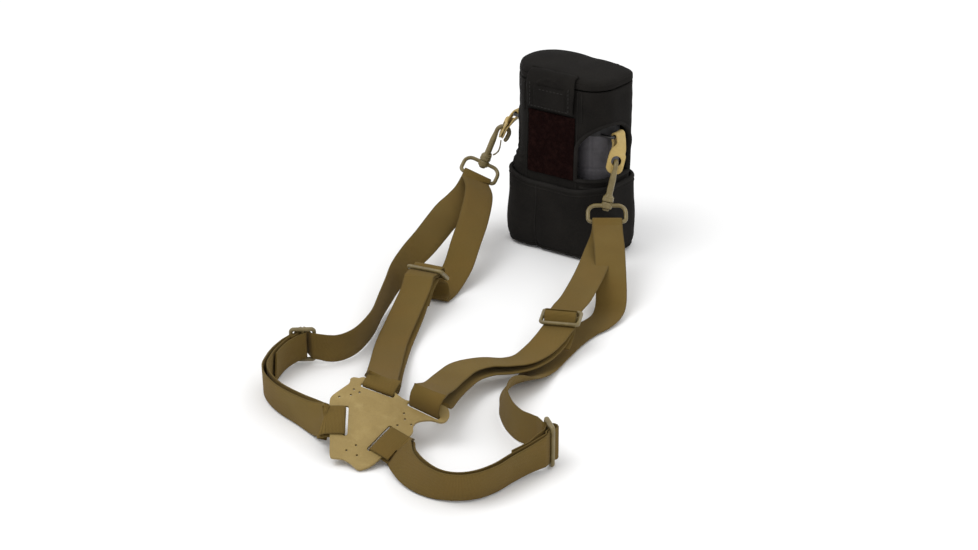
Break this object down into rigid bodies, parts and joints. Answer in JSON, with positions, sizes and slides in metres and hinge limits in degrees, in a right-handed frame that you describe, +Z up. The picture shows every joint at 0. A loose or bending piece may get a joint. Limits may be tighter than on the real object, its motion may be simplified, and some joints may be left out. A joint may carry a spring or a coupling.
{
  "type": "binocular harness pack",
  "caption": "Elastic back harness with snap hooks on ring ends, leather back plate and sliders, clipped to a binocular in a padded neoprene cover with a fold-up lid.",
  "frame": {"origin": "centre of the cover's flat base, on the ground", "axes": "+X from lug to lug, -Y the cover's front with its closure tab, +Z up out of the cover"},
  "size_m": [0.33, 0.4912, 0.1605],
  "materials": {
    "black_neoprene": "knit-faced neoprene",
    "loop_fleece": "napped loop fleece",
    "coyote_webbing": "elastic webbing",
    "coyote_leather": "smooth",
    "olive_plastic": "satin",
    "grey_armour": "fine-grained",
    "black_trim": "matt",
    "coated_glass": "coated",
    "dark_metal": "anodised"
  },
  "bodies": {
    "harness": {"cover_base": "black_neoprene", "cover_cup": "black_neoprene", "cover_sleeve": "black_neoprene", "closure_loop_panel": "loop_fleece", "barrel_left": "grey_armour", "barrel_right": "grey_armour", "objective_lens_left": "coated_glass", "objective_lens_right": "coated_glass", "eyepiece_lens_left": "coated_glass", "eyepiece_lens_right": "coated_glass", "lug_bar_left": "dark_metal", "lug_bar_right": "dark_metal", "hinge_tube": "grey_armour", "hinge_cap": "black_trim", "focus_axle": "black_trim", "tab_left": "coyote_leather", "tab_right": "coyote_leather", "ring_left": "olive_plastic", "ring_right": "olive_plastic", "back_plate": "coyote_leather", "strap_left_shoulder": "coyote_webbing", "strap_left_chest": "coyote_webbing", "strap_left_under": "coyote_webbing", "strap_right_shoulder": "coyote_webbing", "strap_right_chest": "coyote_webbing", "strap_right_under": "coyote_webbing"},
    "lid": {"cover_lid": "black_neoprene", "closure_tab": "black_neoprene", "closure_hook_patch": "loop_fleece"},
    "focus_wheel": {"focus_wheel": "black_trim"},
    "eyecup_left": {"eyecup_left": "black_trim"},
    "hook_left": {"hook_left": "olive_plastic", "rivet_left": "olive_plastic"},
    "gate_left": {"gate_left": "olive_plastic"},
    "eyecup_right": {"eyecup_right": "black_trim"},
    "hook_right": {"hook_right": "olive_plastic", "rivet_right": "olive_plastic"},
    "gate_right": {"gate_right": "olive_plastic"},
    "slider_left_shoulder": {"slider_left_shoulder": "olive_plastic"},
    "slider_left_under": {"slider_left_under": "olive_plastic"},
    "slider_right_shoulder": {"slider_right_shoulder": "olive_plastic"},
    "slider_right_under": {"slider_right_under": "olive_plastic"}
  },
  "joints": [
    {"name": "lid_fold", "type": "hinge", "parent": "harness", "child": "lid", "pos_m": [0, 0.0315, 0.1521], "axis": [-1, 0, 0], "range_deg": [0, 110]},
    {"name": "focus_turn", "type": "hinge", "parent": "harness", "child": "focus_wheel", "pos_m": [0, -0.0145, 0.128], "axis": [0, 0, 1], "range_deg": [-180, 180]},
    {"name": "eyecup_twist_up_left", "type": "slide", "parent": "harness", "child": "eyecup_left", "axis": [0, 0, 1], "range_m": [0, 0.008]},
    {"name": "hook_swivel_left", "type": "hinge", "parent": "harness", "child": "hook_left", "pos_m": [-0.08132, -0.01755, 0.0595], "axis": [0.2802, 0.2284, 0.9324], "range_deg": [-12, 12]},
    {"name": "gate_press_left", "type": "hinge", "parent": "hook_left", "child": "gate_left", "pos_m": [-0.075, -0.01272, 0.06672], "axis": [0.5935, -0.8046, 0.0187], "range_deg": [0, 10], "stiffness_Nm_per_rad": 0.02, "springref_deg": -5.73},
    {"name": "eyecup_twist_up_right", "type": "slide", "parent": "harness", "child": "eyecup_right", "axis": [0, 0, 1], "range_m": [0, 0.008]},
    {"name": "hook_swivel_right", "type": "hinge", "parent": "harness", "child": "hook_right", "pos_m": [0.05798, -0.03216, 0.056], "axis": [0.0016, 0.3714, 0.9285], "range_deg": [-12, 12]},
    {"name": "gate_press_right", "type": "hinge", "parent": "hook_right", "child": "gate_right", "pos_m": [0.05503, -0.02509, 0.06352], "axis": [0.7864, 0.573, -0.2306], "range_deg": [0, 10], "stiffness_Nm_per_rad": 0.02, "springref_deg": -5.73},
    {"name": "slider_move_left_shoulder", "type": "slide", "parent": "harness", "child": "slider_left_shoulder", "axis": [-0.1707, 0.7514, -0.6374], "range_m": [-0.004, 0.004], "deforming": ["strap_left_shoulder", "strap_left_chest"]},
    {"name": "slider_move_left_under", "type": "slide", "parent": "harness", "child": "slider_left_under", "axis": [0.772, 0.6356, 0], "range_m": [-0.004, 0.004], "deforming": ["strap_left_under", "strap_left_chest"]},
    {"name": "slider_move_right_shoulder", "type": "slide", "parent": "harness", "child": "slider_right_shoulder", "axis": [-0.4077, 0.9008, 0.1498], "range_m": [-0.004, 0.004], "deforming": ["strap_right_shoulder", "strap_right_chest"]},
    {"name": "slider_move_right_under", "type": "slide", "parent": "harness", "child": "slider_right_under", "axis": [-0.7711, 0.6367, 0], "range_m": [-0.004, 0.004], "deforming": ["strap_right_under", "strap_right_chest"]}
  ]
}
